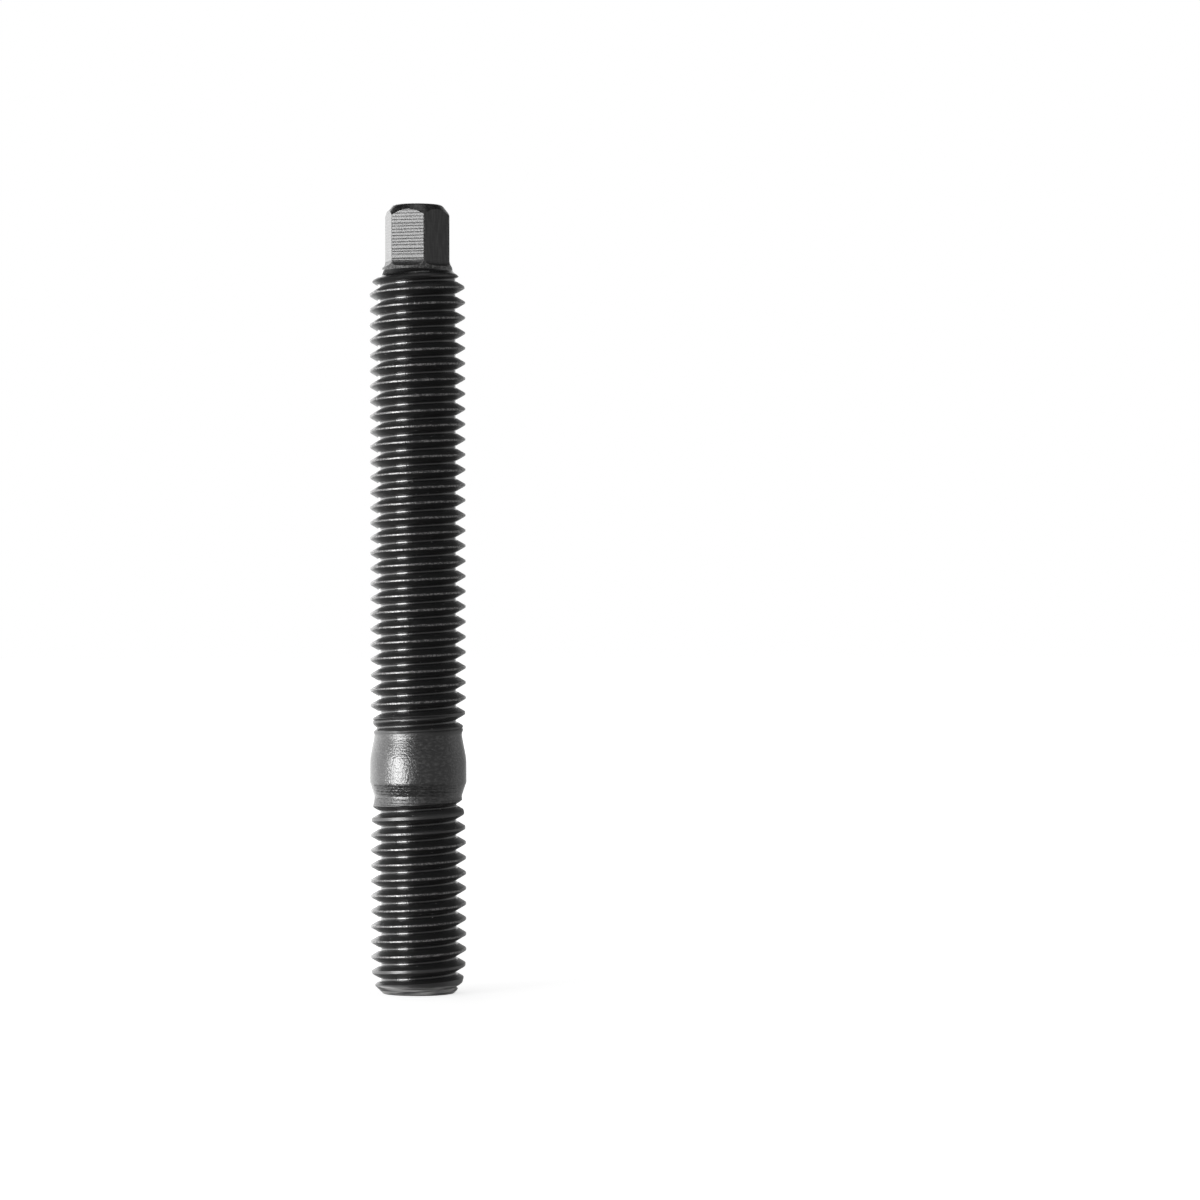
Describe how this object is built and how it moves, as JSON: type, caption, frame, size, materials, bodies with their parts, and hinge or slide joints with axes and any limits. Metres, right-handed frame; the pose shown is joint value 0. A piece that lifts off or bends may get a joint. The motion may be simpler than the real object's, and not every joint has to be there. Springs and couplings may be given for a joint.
{
  "type": "double ended stud",
  "caption": "Double ended stud with a threaded metal end, a barrel-shaped stop collar, a long threaded nut end and a small hexagon drive on top.",
  "frame": {"origin": "centre of the flat point of the metal end, which the stud stands on", "axes": "+Z along the stud's axis, from the metal end to the hexagon drive"},
  "size_m": [0.008, 0.008, 0.0648],
  "materials": {
    "blackened_steel": "black phosphate on rolled and turned steel, oiled, satin, rubbed to bare grey metal along the crests and on the milled flats"
  },
  "bodies": {
    "root": {"stud": "blackened_steel"}
  },
  "joints": []
}
